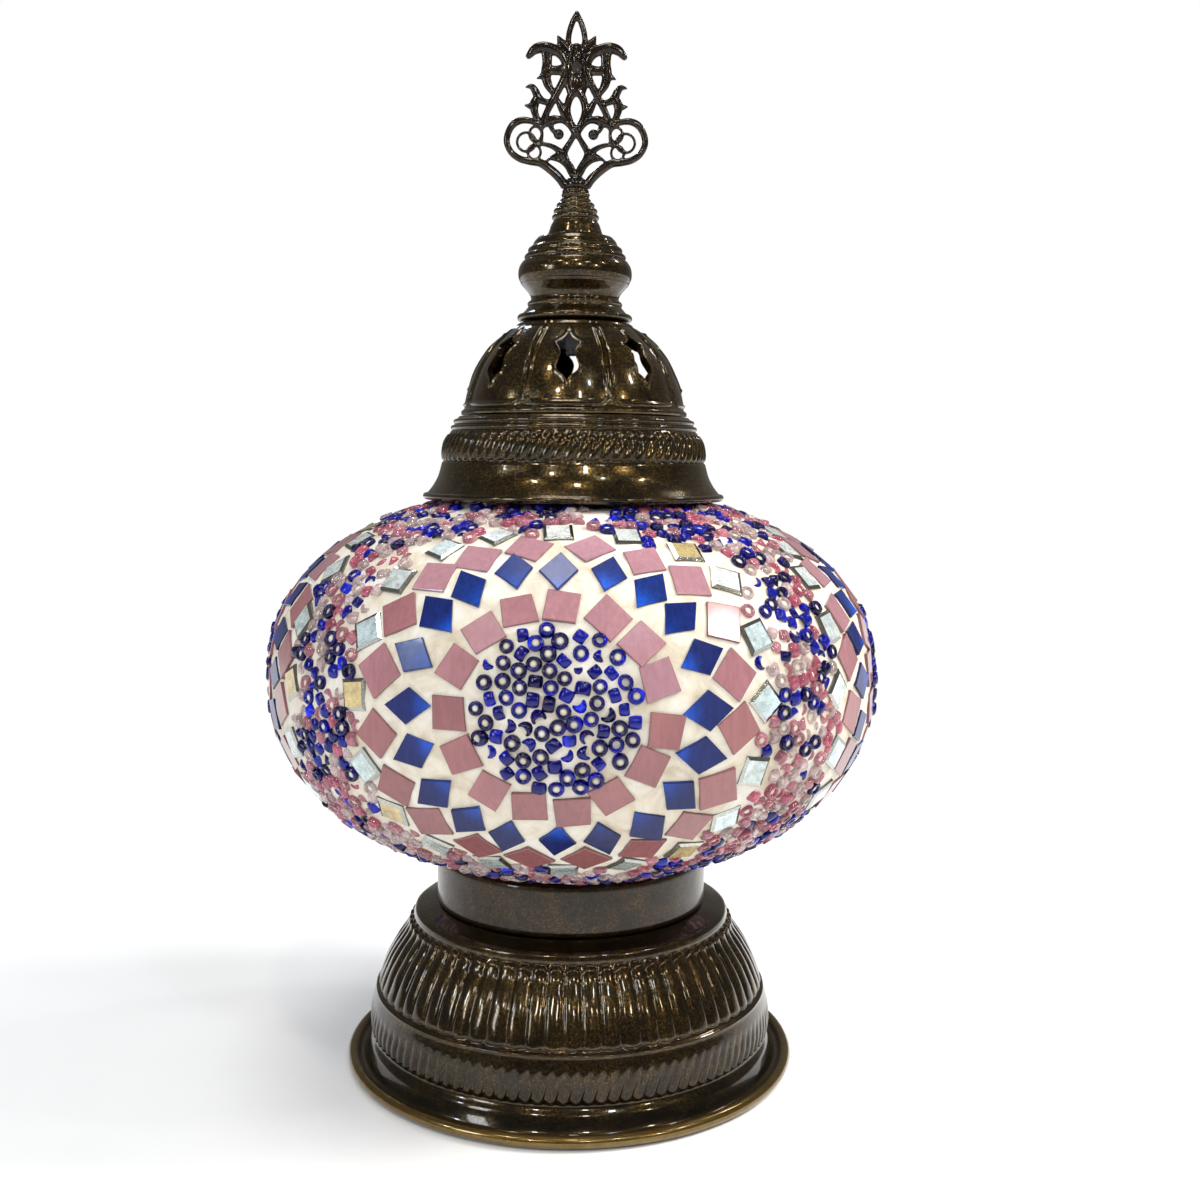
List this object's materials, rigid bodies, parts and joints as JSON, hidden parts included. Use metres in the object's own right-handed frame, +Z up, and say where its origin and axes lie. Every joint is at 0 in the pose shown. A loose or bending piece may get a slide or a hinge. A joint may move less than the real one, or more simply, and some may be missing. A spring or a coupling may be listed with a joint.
{
  "type": "mosaic glass table lamp",
  "caption": "Table lamp with a bead and tile mosaic glass globe, a fluted bronze base, and a lift-off pierced cap with an openwork finial.",
  "frame": {"origin": "centre of the felt pad's underside, on the surface the lamp stands on, below the lamp's axis", "axes": "+Z up along the lamp's axis; -Y towards the viewer, facing the flat side of the finial; +X to the viewer's right"},
  "size_m": [0.2048, 0.2048, 0.35],
  "materials": {
    "bronze": "antique bronze lacquer with fine gold flake, high gloss",
    "bronze_dark": "near-black bronze lacquer, high gloss",
    "bronze_satin": "satin brown bronze",
    "grout": "cream grout, matt and slightly sandy",
    "tile_pink": "dusty pink stained glass, glossy",
    "tile_blue": "navy stained glass, glossy",
    "tile_mirror": "bevelled mirror",
    "bead_blue": "cobalt glass seed beads, glossy",
    "bead_pink": "rose glass seed beads, glossy",
    "globe_glass": "clear blown glass",
    "bulb_glass": "clear bulb glass",
    "brass": "plain machined brass",
    "steel": "zinc plated steel",
    "spring_steel": "bright spring steel",
    "phenolic": "black moulded phenolic",
    "black_glass": "black vitrite glass",
    "porcelain": "glazed porcelain",
    "rubber": "black rubber",
    "cork": "cork",
    "felt": "dark green felt"
  },
  "bodies": {
    "root": {"felt_pad": "felt", "base_plate": "steel", "base_shell": "bronze", "cable_bush": "rubber", "cable_bush_nut": "steel", "neck_collar": "bronze_satin", "globe_gasket": "cork", "tie_tube": "brass", "lower_washer": "steel", "lower_nut": "steel", "upper_washer": "steel", "upper_nut": "steel", "globe_glass": "globe_glass", "mosaic_skin": "grout", "lampholder_cup": "phenolic", "lampholder_sleeve": "phenolic", "lampholder_insert": "porcelain", "thread_shell": "brass", "centre_contact": "brass", "side_contact": "brass"},
    "cap": {"cap_skirt": "bronze", "cap_dome": "bronze", "cap_knob": "bronze", "cap_stud": "steel", "cap_washer": "steel", "cap_nut": "steel", "cap_clip_1": "spring_steel", "cap_clip_2": "spring_steel", "cap_clip_3": "spring_steel"},
    "finial": {"finial_socket": "bronze_dark", "finial_crest": "bronze_dark"},
    "bulb": {"bulb_glass": "bulb_glass", "bulb_screw_cap": "brass", "bulb_insulator": "black_glass", "bulb_tip": "steel", "bulb_stem": "bulb_glass", "bulb_filament": "steel"}
  },
  "joints": [
    {"name": "cap_lift", "type": "slide", "parent": "root", "child": "cap", "axis": [0, 0, 1], "range_m": [0, 0.08]},
    {"name": "finial_turn", "type": "hinge", "parent": "cap", "child": "finial", "pos_m": [0, 0, 0.29], "axis": [0, 0, 1], "continuous": true},
    {"name": "bulb_lift", "type": "slide", "parent": "root", "child": "bulb", "axis": [0, 0, 1], "range_m": [0, 0.06]}
  ]
}
